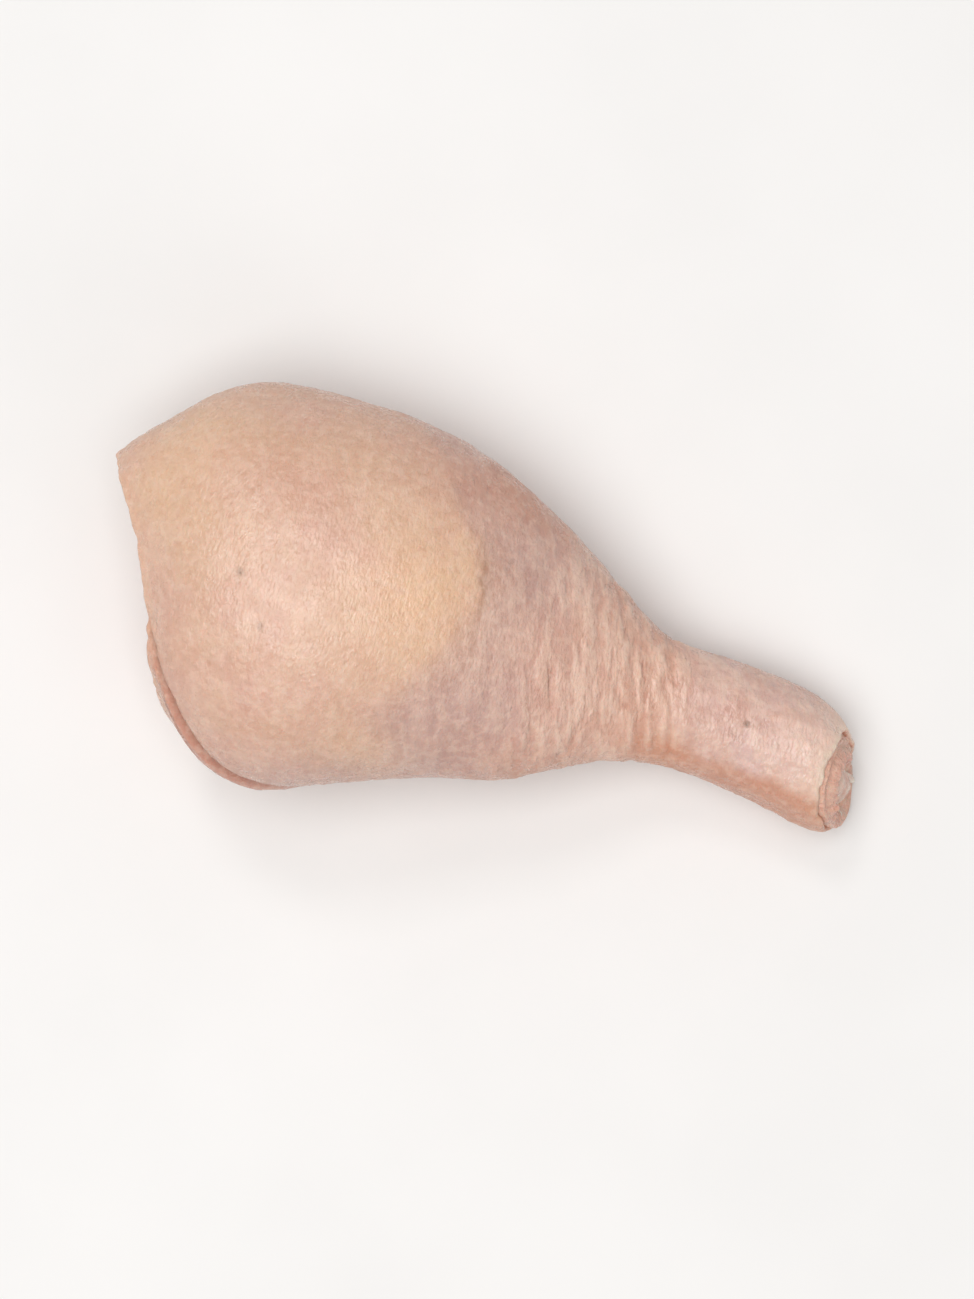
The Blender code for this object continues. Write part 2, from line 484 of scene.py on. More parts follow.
def fat_pad(points):
    """The pad of fat over the calf, how clear its edge is, and the painted shade at the foot of its step,
    each from 0 to 1.
    """
    x, y = points[..., 0] / MM, points[..., 1] / MM
    off = y - FAT_EDGE_Y
    edge = FAT_EDGE_X - off**2 / np.where(off > 0.0, FAT_BEND_HIGH, FAT_BEND_LOW)
    edge = edge + FAT_EDGE_WAVES * lumps(points, (15, 15, 15), 2, 5.0)
    edge = edge + FAT_EDGE_RIPPLES * lumps(points, (5, 5, 5), 2, 6.0)
    softness = FAT_EDGE_SOFTNESS + 0.012 * off**2
    fat = 1.0 - smooth_step((x - edge) / softness, -1.0, 0.7)
    step = bump_at(off, 0.0, 15.0) * (1.0 - smooth_step(x - edge, -1.0, 2.0))
    # Painted shade in a thin strip at the foot of the fat's step
    step_shade = bump_at(x - edge, 0.5, FAT_STEP_SHADE_WIDTH) * bump_at(y, FAT_STEP_SHADE_Y, FAT_STEP_SHADE_LENGTH)
    return fat, step, step_shade


def fold_share(knee_gap):
    """How much of the fold is left this far from the knee's cut, from 1 to 0."""
    return 1.0 - smooth_step(knee_gap / MM, 0.6 * FOLD_LENGTH, FOLD_LENGTH)


def leaning(points):
    """The points moved along the leg, so that what lies across it there leans as the wrinkles do."""
    moved = points.copy()
    moved[..., 0] += WRINKLE_LEAN * points[..., 1]
    return moved


def patches(points, rows):
    """Soft patches from 0 to 1. Each row is x, y, half-length, half-width and strength."""
    x, y = points[..., 0] / MM, points[..., 1] / MM
    total = np.zeros(x.shape)
    for patch_x, patch_y, length, width, strength in rows:
        total += strength * bump_at(x, patch_x, length) * bump_at(y, patch_y, width)
    return np.clip(total, 0.0, 1.0)


def creases(points, neck):
    """Creases across the neck, from 0 to 1: many short ones, and a few that run right across."""
    short = folds(leaning(points), (4.2, 13, 13), 3.0)
    short = short * smooth_step(lumps(points, (6, 9, 9), 2, 4.0), -0.2, 0.3)
    place = leaning(points)[..., 0] / MM + 1.5 * lumps(points, (9, 9, 9), 2, 9.0)
    across = sum(bump_at(place, fold, NECK_FOLD_WIDTH) for fold in NECK_FOLDS)
    across = across * smooth_step(lumps(points, (9, 9, 9), 2, 10.0), -0.5, 0.1)
    return np.clip(np.maximum(neck * short, across), 0.0, 1.0)


def low_side_shade(points, degrees):
    """Painted shade on the shank's side towards -y, from 0 to 1, with an uneven edge."""
    uneven = degrees + 12.0 * lumps(points, (8, 5, 5), 2, 12.0)
    round_it = smooth_step(uneven, *LOW_SHADE_FROM) * (1.0 - smooth_step(uneven, *LOW_SHADE_TO))
    return smooth_step(points[..., 0] / MM, *LOW_SHADE_STARTS) * round_it


def skin_looks(points, ways, knee_gap, ankle_gap, degrees):
    """Where the skin is fat, grey, wrinkled and so on, from 0 to 1. The gaps are distances to the cuts."""
    x, y = points[..., 0] / MM, points[..., 1] / MM
    top = smooth_step(ways[..., 2], 0.0, 0.4)
    fat, fat_step, fat_step_shade = fat_pad(points)
    neck = smooth_step(x, *NECK_STARTS) * (1.0 - smooth_step(x, *NECK_ENDS))
    shank = smooth_step(x, *SHANK_STARTS)
    past = past_fold(knee_gap, degrees)
    marks = sum(bump_at(x, mx, r) * bump_at(y, my, r) for mx, my, r in MARKS) * top
    return {
        "fat": fat,
        "fat_step": fat_step,
        # Painted shade at the foot of the fat's step, on the upper side only
        "fat_step_shade": fat_step_shade * top,
        "grey": (1.0 - fat) * (1.0 - smooth_step(x, *GREY_ENDS)),
        "neck": neck,
        "shank": shank,
        "wrinkled": np.clip(0.10 + 0.35 * (1.0 - fat) + 0.75 * neck - 0.10 * shank, 0.0, 1.0),
        "crease": creases(points, neck),
        "yellow": patches(points, YELLOW_PATCHES),
        "flush": patches(points, FLUSHED_PATCHES),
        "mark": np.clip(marks, 0.0, 1.0),
        "pale": bump_at(ankle_gap / MM, 0.0, ANKLE_PALE_REACH),
        # Painted shade: darker and browner on the shank's low side and along the neck's top and low edges
        "edge_shade": np.clip(low_side_shade(points, degrees) + patches(points, EDGE_SHADE_PATCHES), 0.0, 1.0),
        "knee_edge": fading(knee_gap, KNEE_EDGE_REACH),
        "ankle_edge": fading(ankle_gap, ANKLE_EDGE_REACH),
        # Sinks the fold's crease, and its tone there is painted shade
        "fold_crease": fold_share(knee_gap) * (bump_at(past, 0.0, 0.9) + 0.45 * bump_at(past, 2.8, 0.7)),
        "fold": fold_share(knee_gap) * smooth_step(past, -0.3, 0.9) * (1.0 - smooth_step(past, 4.5, 9.0)),
        # Painted shade: the skin darker and browner where it turns from the light to face sideways and down
        "side": 1.0 - smooth_step(ways[..., 2], -0.25, 0.60),
    }


def skin_relief(points, looks, knee_gap, ankle_gap, degrees):
    """How far the skin stands out of the plain form, in metres."""
    pimples = np.clip(PIMPLE_SIZE - cells(points, PIMPLE_SPACING, 31.0)[..., 0], 0.0, 1.0)
    pimples = pimples * (1.0 - 0.6 * looks["neck"])
    at_knee = KNEE_PUCKERS * fading(knee_gap, KNEE_PUCKER_REACH)
    at_ankle = ANKLE_PUCKERS * fading(ankle_gap, ANKLE_PUCKER_REACH)
    off_rim = 0.35 + 0.65 * smooth_step(knee_gap / MM, 0.0, 6.0)
    height = (
        SWELLS * lumps(points, (17, 17, 17), 2, 21.0)
        + PIMPLES * pimples
        + STRANDS * looks["shank"] * lumps(points, (26, 4.5, 4.5), 3, 41.0)
        + (at_knee + at_ankle) * lumps(points, (22, 5.5, 5.5), 3, 51.0)
        + FOLD_HEIGHT * off_rim * fold_share(knee_gap) * bump_at(past_fold(knee_gap, degrees), 2.6, 2.4)
        - FOLD_DEPTH * off_rim * looks["fold_crease"]
        + FAT_STEP * looks["fat_step"]
        + WRINKLES * looks["wrinkled"] * lumps(leaning(points), (2.3, 9, 9), 1, 55.0)
        - CREASES * looks["crease"]
        - CREASES * looks["mark"]
        + GRAIN * lumps(points, (1.2, 1.6, 1.6), 2, 71.0)
    )
    return height * MM


def grid_object(name, grids, looks):
    """A smooth mesh through one or more sets of rings. Each look becomes an attribute for its material."""
    corners, quads, count = [], [], 0
    for points in grids:
        index = count + np.arange(points.shape[0] * points.shape[1]).reshape(points.shape[:2])
        after = np.roll(index, -1, axis=1)
        quads += np.stack([index[:-1], after[:-1], after[1:], index[1:]], axis=-1).reshape(-1, 4).tolist()
        corners += points.reshape(-1, 3).tolist()
        count = len(corners)
    mesh = bpy.data.meshes.new(name)
    mesh.from_pydata(corners, [], quads)
    for look, values in looks.items():
        layer = mesh.attributes.new(look, "FLOAT", "POINT")
        layer.data.foreach_set("value", np.ascontiguousarray(values, dtype=np.float32).ravel())
    mesh.shade_smooth()
    made = bpy.data.objects.new(name, mesh)
    bpy.context.scene.collection.objects.link(made)
    return made


def turned_edge(rim, along, thickness):
    """The rings that carry the skin round its cut edge and down inside it. Along points into the leg."""
    inward = rim.mean(axis=0) - rim
    inward /= np.linalg.norm(inward, axis=-1, keepdims=True)
    return np.array([rim + thickness * (share * inward + deep * along) for share, deep in CUT_EDGE])


def along_columns(points, shares):
    """New rings at these shares of the way from the first ring to the last, one share for each column."""
    place = shares * (len(points) - 1)
    before = np.clip(np.floor(place).astype(int), 0, len(points) - 2)
    part = (place - before)[..., None]
    column = np.arange(points.shape[1])
    return points[before, column] * (1.0 - part) + points[before + 1, column] * part


def drawn_back(surface):
    """The skin's rings, which stop short of the ankle's cut, and the bare strip's rings past them."""
    length = np.linalg.norm(np.diff(surface, axis=0), axis=-1).sum(axis=0)
    upper_side = smooth_step(np.sin(ring_angles()), -0.7, 0.2)
    bare = ANKLE_BARE_UNDER + (ANKLE_BARE_TOP - ANKLE_BARE_UNDER) * upper_side
    bare = bare + ANKLE_UNEVEN * lumps(surface[-1], (9, 4, 4), 3, 83.0)
    skin_end = 1.0 - bare * MM / length
    skin_share = np.linspace(0.0, 1.0, RINGS + 1)[:, None] * skin_end
    strip_share = skin_end + np.linspace(STRIP_UNDER_SKIN, 1.0, BARE_RINGS)[:, None] * (1.0 - skin_end)
    return along_columns(surface, skin_share), along_columns(surface, strip_share)


def gaps_to_cuts(points):
    """How far each point is along the skin from the knee's cut and from the ankle's."""
    steps = np.linalg.norm(np.diff(points, axis=0), axis=-1)
    knee_gap = np.concatenate([np.zeros((1, SIDES)), np.cumsum(steps, axis=0)])
    return knee_gap, knee_gap[-1:] - knee_gap


def with_cut_edges(points, looks):
    """The skin's rings with a cut edge at both ends, the looks to match, and the ring in the knee's lip."""
    along = np.array([1.0, 0.0, 0.0])
    knee = turned_edge(points[0], along, KNEE_THICKNESS)
    ankle = turned_edge(points[-1], -along, ANKLE_THICKNESS)
    before, after = len(knee), len(ankle)
    whole = np.concatenate([knee[::-1], points, ankle])
    padded = {look: np.pad(values, ((before, after), (0, 0)), mode="edge") for look, values in looks.items()}
    padded["inside"] = np.zeros(whole.shape[:2])
    padded["inside"][:before] = np.linspace(1.0, 0.1, before)[:, None]
    padded["inside"][-after:] = np.linspace(0.1, 1.0, after)[:, None]
    return whole, padded, knee[LIP_RING]


def make_skin(tree, spine):
    """The skin between its two cuts, the ring inside its lip at the knee, and the ankle's bare flesh."""
    surface = blurred(sampled_skin(tree, spine), SMOOTH_RINGS, SMOOTH_SIDES)
    points, strip = drawn_back(surface)
    degrees = np.broadcast_to(np.degrees(ring_angles()), points.shape[:2])
    knee_gap, ankle_gap = gaps_to_cuts(points)
    ways = outward_ways(points)
    looks = skin_looks(points, ways, knee_gap, ankle_gap, degrees)
    height = skin_relief(points, looks, knee_gap, ankle_gap, degrees)
    ragged = RAGGED_CUT * lumps(points[:1], (30, 7, 7), 3, 81.0) * MM
    points = points + ways * height[..., None]
    knee_ragged = fading(knee_gap, KNEE_RAGGED_REACH)
    ankle_ragged = ANKLE_RAGGED_SHARE * fading(ankle_gap, ANKLE_RAGGED_REACH)
    points[..., 0] += ragged * (knee_ragged - ankle_ragged)
    points[..., 2] = np.maximum(points[..., 2], 0.0)
    whole, looks, lip = with_cut_edges(points, looks)
    skin = grid_object("skin", [whole], looks)
    skin.data.materials.append(skin_material())
    return skin, lip, bare_flesh(strip, ways[-1])


def bare_flesh(strip, ways):
    """The ankle's flesh where the skin has drawn back: strands that run under its lip, to the cut."""
    share = np.linspace(0.0, 1.0, len(strip))[:, None]
    inset = FLESH_INSET * (1.0 + 0.9 * smooth_step(share, 0.72, 1.0) ** 2)
    strands = FLESH_STRANDS * lumps(strip, (9, 1.8, 1.8), 3, 87.0) * smooth_step(share, 0.1, 0.5)
    flesh = strip - ways * (inset - strands)[..., None]
    flesh[..., 2] = np.maximum(flesh[..., 2], FLESH_OFF_TABLE)
    return flesh


def muscles(points, free, cut):
    """The muscles cut across: how far each point is from a border between two, and how far it stands out."""
    bends = np.stack([lumps(points, (8, 8, 8), 2, seed) for seed in (41.0, 43.0, 47.0)], axis=-1)
    spots = cells(points + MUSCLE_BENDS * cut["size"] * MM * bends, cut["size"], 7.0)
    border = spots[..., 1] - spots[..., 0]
    coarse = FLESH_LUMPS * lumps(points, (2.2, 2.2, 2.2), 3, 17.0)
    fine = FLESH_GRAIN * lumps(points, (0.9, 0.9, 0.9), 2, 19.0)
    return border, free * (cut["height"] * smooth_step(border, 0.0, 0.55) + coarse + fine)


def cut_looks(points, share, free, border, middle_y, cut):
    """Where the cut shows films, fat, the tissue under the skin and that round the bone, each from 0 to 1."""
    across = (points[..., 1] - middle_y) / MM
    uneven = lumps(points, (7, 7, 7), 2, 23.0)
    rim_side = smooth_step(share, cut["rim"], 0.97)
    bone_side = 1.0 - smooth_step(share, 0.03, 0.18)
    return {
        "fascia": 1.0 - smooth_step(border, 0.0, 0.16),
        "fatty": smooth_step(uneven + 0.05 * across, 0.20, 0.42) * free,
        "rim_side": np.broadcast_to(rim_side, border.shape),
        "bone_side": np.broadcast_to(bone_side, border.shape),
    }


def bone_rim(spine, bone_tree, mouth_x):
    """The ring where the flesh meets the bone, a little inside the bone's surface."""
    angle = ring_angles()
    centre = spine.centre(np.full(SIDES, mouth_x))
    way = spine.outward(np.full(SIDES, mouth_x), angle)
    return np.array([first_hit(bone_tree, c, w) or c for c, w in zip(centre, way)]) - BONE_GRIP * way


def make_cut_face(name, lead, spine, bone_tree, cut):
    """The flesh from the last ring of the lead in to the bone, with its muscles cut across."""
    into = cut["into"]
    mouth_x = (spine.knee if into > 0 else spine.ankle)[0] + into * cut["mouth"] * MM
    outer, inner = lead[-1], bone_rim(spine, bone_tree, mouth_x)
    share = np.linspace(0.0, 1.0, CUT_RINGS)[:, None]
    points = inner + (outer - inner) * share[..., None]
    free = np.sin(math.pi * share) ** 0.7
    border, rise = muscles(points, free, cut)
    collar = COLLAR * np.clip(-into * (mouth_x + COLLAR_REACH - outer[:, 0]) / MM, 0.0, 3.0)
    climb = (1.0 + 1.1 * lumps(points, (5, 5, 5), 2, 27.0)) * (1.0 - share) ** 3
    depth = (cut["hollow"] - collar) * np.sin(math.pi * share) - rise - 0.4 * cut["height"] * climb
    points[..., 0] += into * depth * MM
    looks = cut_looks(points, share, free, border, spine.centre(mouth_x)[1], cut)
    if into < 0:
        before = len(lead) - 1
        points = np.concatenate([lead[:-1], points[::-1]])
        looks = {look: np.pad(grid[::-1], ((before, 0), (0, 0)), mode="edge") for look, grid in looks.items()}
    face = grid_object(name, [points], looks)
    face.data.materials.append(flesh_material(name, cut["paleness"]))
    return face


def rounded_copy(node):
    """A frame node's mesh with its faces rounded off."""
    shape = bpy.data.objects.new("rounded_copy", node.data.copy())
    bpy.context.scene.collection.objects.link(shape)
    weld = shape.modifiers.new("weld", "WELD")
    weld.merge_threshold = 0.01 * MM
    rounding = shape.modifiers.new("rounding", "SUBSURF")
    rounding.levels = BONE_ROUNDING
    rounding.render_levels = BONE_ROUNDING
    graph = bpy.context.evaluated_depsgraph_get()
    rounded = bpy.data.meshes.new_from_object(shape.evaluated_get(graph))
    bpy.data.objects.remove(shape)
    return rounded


def make_bone(node, spine):
    """The shin bone in its gristle: the frame's own form, rounded finely, with low swells and pits."""
    rounded = rounded_copy(node)
    count = len(rounded.vertices)
    places, ways = np.zeros(count * 3), np.zeros(count * 3)
    rounded.vertices.foreach_get("co", places)
    rounded.vertices.foreach_get("normal", ways)
    places, ways = places.reshape(-1, 3), ways.reshape(-1, 3)
    height = BONE_SWELLS * lumps(places, (6, 6, 6), 3, 91.0)
    height = height + BONE_GRAIN * lumps(places, (1.6, 1.6, 1.6), 2, 93.0)
    places += ways * (height * MM)[:, None]
    places[:, 0] += knee_end_form(places, ways, spine.knee) * MM
    rounded.vertices.foreach_set("co", places.ravel())
    rounded.materials.clear()
    rounded.materials.append(gristle_material())
    rounded.shade_smooth()
    bone = bpy.data.objects.new("shin_bone", rounded)
    bpy.context.scene.collection.objects.link(bone)
    return bone


def knee_end_form(places, ways, middle):
    """How far back each point of the bone's knee end lies, in mm: its set-back, two cups and a groove."""
    y, z = (places[:, 1] - middle[1]) / MM, (places[:, 2] - middle[2]) / MM
    along = places[:, 0] / MM - BONE_LEAN * (KNEE_LEAN[0] * y + KNEE_LEAN[1] * z)
    near = 1.0 - smooth_step(along, along.min(), along.min() + BONE_END_FADES)
    face = near * smooth_step(-ways[:, 0], 0.2, 0.7)
    cups = bump_at(y, -CUP_SPACING, CUP_WIDTH) + bump_at(y, CUP_SPACING, CUP_WIDTH)
    cups = cups * bump_at(z, 0.0, 1.5 * CUP_WIDTH)
    groove = bump_at(y, 0.0, GROOVE_WIDTH) * smooth_step(np.abs(z), 0.5, 4.0)
    return BONE_SET_BACK * near + face * (CUP_DEPTH * cups + GROOVE_DEPTH * groove)


def tendon_stub(spine, number, x, degrees, out, length, width):
    """The rings of one tendon that is cut off short: it tapers, droops a little and has a ragged surface."""
    share = np.linspace(0.0, 1.0, TENDON_RINGS)[:, None]
    turn = 2.0 * math.pi * np.arange(TENDON_SIDES)[None, :] / TENDON_SIDES
    place = np.float64(x * MM)
    start = spine.centre(place) + spine.outward(place, math.radians(degrees)) * out * MM
    direction = math.copysign(1.0, x)
    radius = 0.5 * width * (1.0 - TENDON_TAPER * share) * (1.0 + 0.2 * np.sin(2 * turn + number))
    radius = radius * np.sqrt(np.clip(1.0 - share**6, 0.0, 1.0))
    droop = TENDON_DROOP * width * share**2
    along = np.broadcast_to(direction * (length * share - TENDON_ROOT), radius.shape)
    across = radius * np.cos(turn) + droop * math.cos(number)
    up = radius * np.sin(turn) - droop
    points = start + np.stack([along, across, up], axis=-1) * MM
    points += (TENDON_RAGS * lumps(points, (1.2, 0.8, 0.8), 2, 3.0 * number) * MM)[..., None]
    return points if direction > 0 else points[::-1]


def make_tendons(spine):
    """The cut ends of the tendons, as short ragged stubs."""
    stubs = [tendon_stub(spine, number, *row) for number, row in enumerate(TENDON_STUBS)]
    tendons = grid_object("tendons", stubs, {})
    tendons.data.materials.append(tendon_material())
    return tendons


class Shader:
    """A Principled material, with short ways to add the nodes that drive it."""

    def __init__(self, name, **settings):
        self.material = bpy.data.materials.new(name)
        self.material.use_nodes = True
        self.tree = self.material.node_tree
        self.surface = self.tree.nodes["Principled BSDF"]
        for socket, value in settings.items():
            self.surface.inputs[socket.replace("_", " ")].default_value = value
        self.place = self.tree.nodes.new("ShaderNodeTexCoord").outputs["Object"]

    def put(self, value, socket):
        """Gives a socket a value: another socket's output, a colour or a number."""
        if isinstance(value, bpy.types.NodeSocket):
            self.tree.links.new(value, socket)
        else:
            socket.default_value = value

    def look(self, name):
        """The mesh's own attribute."""
        node = self.tree.nodes.new("ShaderNodeAttribute")
        node.attribute_name = name
        return node.outputs["Fac"]

    def noise(self, size, detail=3.0, stretch=(1.0, 1.0, 1.0), low=0.3, high=0.7, lean=0.0):
        """Soft noise from 0 to 1, with lumps of this size in mm, stretched along the axes, leaned about z."""
        scaled = self.tree.nodes.new("ShaderNodeMapping")
        scaled.vector_type = "TEXTURE"
        scaled.inputs["Rotation"].default_value = (0.0, 0.0, lean)
        scaled.inputs["Scale"].default_value = [size * MM * s for s in stretch]
        self.put(self.place, scaled.inputs["Vector"])
        node = self.tree.nodes.new("ShaderNodeTexNoise")
        node.inputs["Scale"].default_value = 1.0
        node.inputs["Detail"].default_value = detail
        self.put(scaled.outputs["Vector"], node.inputs["Vector"])
        return self.ramp(node.outputs["Fac"], low, high)

    def spots(self, spacing, low, high):
        """1 at scattered points this far apart, in mm, and 0 between them."""
        node = self.tree.nodes.new("ShaderNodeTexVoronoi")
        node.inputs["Scale"].default_value = 1.0 / (spacing * MM)
        self.put(self.place, node.inputs["Vector"])
        return self.ramp(node.outputs["Distance"], low, high, 1.0, 0.0)

    def ramp(self, value, low, high, start=0.0, end=1.0):
        """The value stretched from low..high to start..end, softly and with no overshoot."""
        node = self.tree.nodes.new("ShaderNodeMapRange")
        node.interpolation_type = "SMOOTHSTEP"
        for socket, number in zip(("From Min", "From Max", "To Min", "To Max"), (low, high, start, end)):
            node.inputs[socket].default_value = number
        self.put(value, node.inputs["Value"])
        return node.outputs["Result"]

    def maths(self, operation, first, second):
        """A sum on two values."""
        node = self.tree.nodes.new("ShaderNodeMath")
        node.operation = operation
        self.put(first, node.inputs[0])
        self.put(second, node.inputs[1])
        return node.outputs[0]

    def mix(self, factor, first, second):
        """The first colour, turned into the second by the factor."""
        node = self.tree.nodes.new("ShaderNodeMix")
        node.data_type = "RGBA"
        self.put(factor, node.inputs[0])
        self.put(first, node.inputs[6])
        self.put(second, node.inputs[7])
        return node.outputs[2]

    def tint(self, colour, look, share, tone):
        """The colour, turned into a tone where the look is, by this share at most."""
        return self.mix(self.maths("MULTIPLY", look, share), colour, srgb(*tone))

    def bump(self, height, depth, under=None):
        """A bump of this depth in mm, on top of another one."""
        node = self.tree.nodes.new("ShaderNodeBump")
        node.inputs["Strength"].default_value = 1.0
        node.inputs["Distance"].default_value = depth * MM
        self.put(height, node.inputs["Height"])
        if under is not None:
            self.put(under, node.inputs["Normal"])
        return node.outputs["Normal"]

    def finish(self, colour, roughness, normal=None):
        """Connects what drives the surface."""
        self.put(colour, self.surface.inputs["Base Color"])
        self.put(roughness, self.surface.inputs["Roughness"])
        if normal is not None:
            self.put(normal, self.surface.inputs["Normal"])
        return self.material


def srgb(red, green, blue):
    """A colour as a screen shows it, 0 to 255, turned into the light values that Blender mixes."""
    light = [(c / 255.0) ** 2.2 for c in (red, green, blue)]
    return (*light, 1.0)


def fat_colour(m):
    """The pad of fat under the skin, mottled paler and pinker."""
    fat = m.mix(m.noise(14.0), srgb(213, 170, 152), srgb(214, 176, 149))
    fat = m.tint(fat, m.noise(5.5, 5.0, low=0.45, high=0.65), 0.30, (233, 201, 177))
    return m.tint(fat, m.noise(4.2, 5.0, low=0.52, high=0.70), 0.16, (208, 162, 138))


def skin_ground(m):
    """The skin's ground colour over muscle, over the grey part by the fat, over the shank and over fat."""
    colour = m.mix(m.noise(9.0), srgb(206, 163, 145), srgb(199, 155, 135))
    colour = m.mix(m.look("grey"), colour, m.mix(m.noise(8.0), srgb(199, 163, 153), srgb(188, 150, 140)))
    colour = m.mix(m.look("shank"), colour, m.mix(m.noise(6.0), srgb(204, 167, 156), srgb(213, 178, 169)))
    return m.mix(m.look("fat"), colour, fat_colour(m))


def shank_tints(m, colour):
    """Pale streaks and darker blotches on the shank."""
    streaks = m.noise(3.4, 3.0, stretch=(2.6, 1.0, 1.0), low=0.46, high=0.62, lean=-0.6)
    colour = m.tint(colour, m.maths("MULTIPLY", streaks, m.look("shank")), 0.60, (228, 198, 182))
    blotches = m.noise(6.5, 3.0, low=0.48, high=0.62)
    return m.tint(colour, m.maths("MULTIPLY", blotches, m.look("shank")), 0.55, (199, 154, 139))


def fine_tints(m, colour):
    """The skin's fine mottling, its feather pits and its few dark marks."""
    colour = m.tint(colour, m.noise(1.5, 4.0, low=0.45, high=0.65), 0.26, (236, 204, 184))
    colour = m.tint(colour, m.noise(1.1, 3.0, low=0.50, high=0.68), 0.20, (192, 142, 120))
    colour = m.tint(colour, m.spots(3.3, 0.05, 0.24), 0.16, (196, 140, 118))
    return m.tint(colour, m.look("mark"), 0.75, (132, 104, 86))


def skin_material():
    """Raw skin: creamy over the pad of fat, greyer over muscle, orange-pink in its creases, damp all over.
    Its colour holds painted shade in its creases, on its sides, on the shank's low side and at the foot of
    the fat's step, and painted highlight on its wrinkles.
    """
    m = Shader(
        "chicken_skin",
        Subsurface_Weight=0.30,
        Subsurface_Radius=(1.0, 0.45, 0.30),
        Subsurface_Scale=2.5 * MM,
        Specular_IOR_Level=0.5,
    )
    wrinkle = m.noise(1.8, 2.5, stretch=(1.0, 4.0, 4.0), low=0.38, high=0.64, lean=math.atan(WRINKLE_LEAN))
    wrinkle = m.maths("MULTIPLY", wrinkle, m.look("wrinkled"))
    colour = skin_ground(m)
    for look, share, tone in SKIN_TINTS:
        colour = m.tint(colour, m.look(look), share, tone)
    colour = shank_tints(m, colour)
    colour = m.tint(colour, m.look("pale"), 0.75, (230, 198, 182))
    # Lighter on the wrinkles' ridges: partly paler streaks in the skin, partly painted highlight
    colour = m.tint(colour, wrinkle, 0.60, (236, 204, 184))
    # These tones include painted shade: partly in the creases, and wholly at the foot of the fat's step, on
    # the sides and in the fold's crease
    for look, share, tone in EDGE_TINTS:
        colour = m.tint(colour, m.look(look), share, tone)
    colour = m.mix(m.ramp(m.look("inside"), 0.1, 0.8), colour, srgb(214, 144, 116))
    # Painted shade: darker and browner on the shank's low side and along the neck's top and low edges
    colour = m.tint(colour, m.look("edge_shade"), 0.72, (197, 132, 101))
    colour = fine_tints(m, colour)
    roughness = m.ramp(m.noise(3.0, 4.0), 0.0, 1.0, 0.21, 0.42)
    grain = m.bump(m.noise(0.7, 2.0, stretch=(0.7, 1.3, 1.3)), 0.07)
    pores = m.bump(m.spots(1.3, 0.0, 0.5), 0.04, under=grain)
    return m.finish(colour, roughness, m.bump(wrinkle, 0.20, under=pores))


def flesh_material(name, paleness):
    """Wet flesh in a cut: muscle, the pale films between muscles, and bits of fat. Paleness is 0 to 1."""
    m = Shader(
        name,
        Subsurface_Weight=0.30,
        Subsurface_Radius=(1.0, 0.30, 0.20),
        Subsurface_Scale=2.0 * MM,
    )
    colour = m.mix(m.noise(3.0, 4.0), srgb(206, 118, 96), srgb(186, 92, 74))
    colour = m.tint(colour, m.noise(0.9, 3.0), 0.35, (222, 154, 132))
    colour = m.tint(colour, m.look("fascia"), 0.62, (228, 192, 172))
    colour = m.tint(colour, m.look("fatty"), 0.80, (238, 200, 172))
    colour = m.tint(colour, m.look("bone_side"), 0.60, (232, 206, 190))
    rim = m.mix(m.noise(1.8, 3.0, stretch=(3.0, 1.0, 1.0)), srgb(222, 170, 142), srgb(202, 138, 110))
    colour = m.mix(m.maths("MULTIPLY", m.look("rim_side"), 0.85), colour, rim)
    colour = m.mix(paleness, colour, srgb(236, 204, 188))
    roughness = m.ramp(m.noise(2.0, 3.0), 0.0, 1.0, 0.18, 0.40)
    normal = m.bump(m.noise(0.6, 4.0), 0.12)
    return m.finish(colour, roughness, normal)


def gristle_material():
    """Pearly gristle over bone, a little pink where blood shows through."""
    m = Shader(
        "gristle",
        Subsurface_Weight=0.35,
        Subsurface_Radius=(1.0, 0.6, 0.5),
        Subsurface_Scale=2.5 * MM,
    )
    colour = m.mix(m.noise(5.0), srgb(232, 213, 198), srgb(222, 190, 173))
    colour = m.tint(colour, m.noise(4.2, 4.0, low=0.46, high=0.64), 0.60, (214, 158, 140))
    colour = m.tint(colour, m.noise(2.0, 3.0, low=0.58, high=0.72), 0.40, (186, 104, 90))
    roughness = m.ramp(m.noise(3.0), 0.0, 1.0, 0.18, 0.34)
    return m.finish(colour, roughness, m.bump(m.noise(0.8, 3.0), 0.06))


def tendon_material():
    """White tendon with faint strands along it."""
    m = Shader(
        "tendon",
        Subsurface_Weight=0.30,
        Subsurface_Radius=(1.0, 0.6, 0.5),
        Subsurface_Scale=1.5 * MM,
    )
    colour = m.mix(m.noise(1.2, 3.0, stretch=(4.0, 1.0, 1.0)), srgb(236, 224, 212), srgb(226, 196, 180))
    roughness = m.ramp(m.noise(1.5), 0.0, 1.0, 0.22, 0.40)
    return m.finish(colour, roughness, m.bump(m.noise(0.4, 3.0, stretch=(5.0, 1.0, 1.0)), 0.08))


def floor_material():
    """A plain pale tabletop with the faintest grain."""
    m = Shader("floor", Specular_IOR_Level=0.2)
    colour = m.mix(m.noise(60.0), srgb(238, 236, 234), srgb(235, 233, 231))
    return m.finish(colour, m.ramp(m.noise(20.0), 0.0, 1.0, 0.60, 0.70))


def make_floor():
    """The tabletop, which is part of the stage and not of the leg."""
    bpy.ops.mesh.primitive_plane_add(size=FLOOR_SIZE, location=(0.0, 0.0, 0.0))
    floor = bpy.context.active_object
    floor.name = "floor"
    floor.data.materials.append(floor_material())


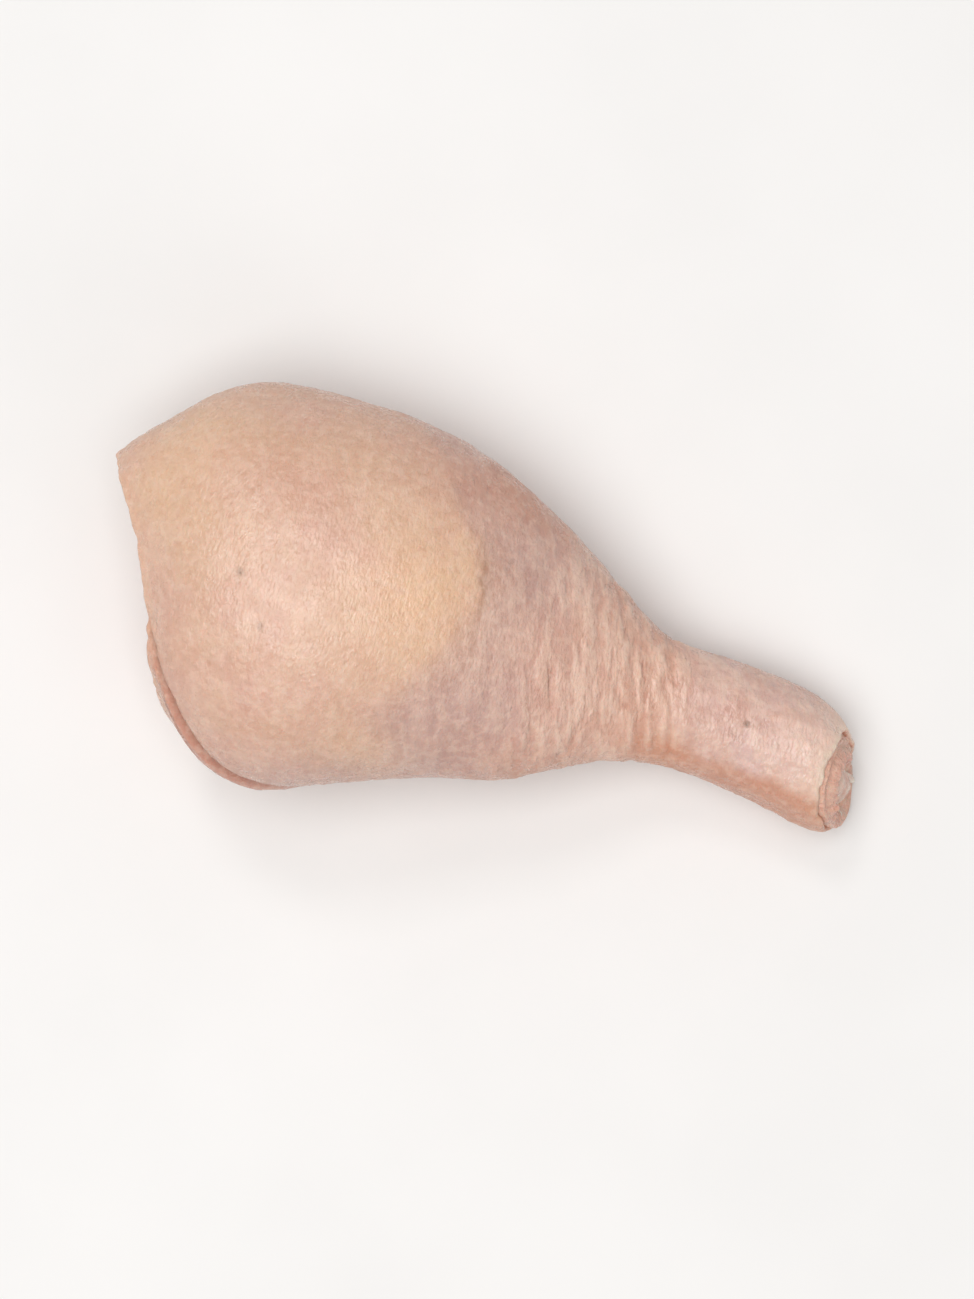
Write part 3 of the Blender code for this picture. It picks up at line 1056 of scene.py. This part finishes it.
def make_light(name, place, size, power, target):
    """A square soft light, aimed at a point."""
    data = bpy.data.lights.new(name, "AREA")
    data.size = size
    data.energy = power
    light = bpy.data.objects.new(name, data)
    light.location = place
    light.rotation_euler = (Vector(target) - Vector(place)).to_track_quat("-Z", "Y").to_euler()
    bpy.context.scene.collection.objects.link(light)


def make_sky():
    """Even white light from all sides."""
    world = bpy.data.worlds.new("studio")
    world.use_nodes = True
    sky = world.node_tree.nodes["Background"]
    sky.inputs["Color"].default_value = (1.0, 1.0, 1.0, 1.0)
    sky.inputs["Strength"].default_value = SKY_STRENGTH
    bpy.context.scene.world = world


def make_camera(middle, length):
    """A long lens straight above the leg, turned so that the leg slants as in the photo."""
    data = bpy.data.cameras.new("camera")
    data.sensor_width = SENSOR
    camera = bpy.data.objects.new("camera", data)
    camera.location = (middle.x, middle.y, CAMERA_HEIGHT)
    camera.rotation_euler = (0.0, 0.0, PHOTO_TURN)
    bpy.context.scene.collection.objects.link(camera)
    bpy.context.scene.camera = camera
    seen_length = length * math.cos(PHOTO_TURN)
    frame_width = seen_length / LEG_SHARE_OF_WIDTH
    data.lens = SENSOR * PHOTO_WIDTH / PHOTO_HEIGHT * (CAMERA_HEIGHT - middle.z) / frame_width


def dress():
    """Makes every visible piece, hides the frame's nodes that they replace and hangs the pieces on the root.
    """
    tree, bone_tree, spine = mesh_tree("leg"), mesh_tree("bone"), Spine()
    skin, knee_lip, ankle_strip = make_skin(tree, spine)
    knee_flesh = make_cut_face("knee_flesh", knee_lip[None], spine, bone_tree, KNEE_CUT)
    ankle_flesh = make_cut_face("ankle_flesh", ankle_strip, spine, bone_tree, ANKLE_CUT)
    bone = make_bone(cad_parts["bone"], spine)
    tendons = make_tendons(spine)
    for piece in (skin, knee_flesh, ankle_flesh, tendons):
        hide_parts("leg")
    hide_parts("bone")
    for piece in (skin, knee_flesh, ankle_flesh, tendons, bone):
        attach(piece, "root")


def main():
    """Dresses the leg and sets the stage round it, framing the camera on the frame's size."""
    dress()
    low, high = cad_box
    middle = Vector([(a + b) / 2 for a, b in zip(low, high)])
    make_floor()
    make_camera(middle, high[0] - low[0])
    for light in LIGHTS:
        make_light(*light, middle)
    make_sky()
    bpy.context.scene.view_settings.view_transform = "Standard"


main()
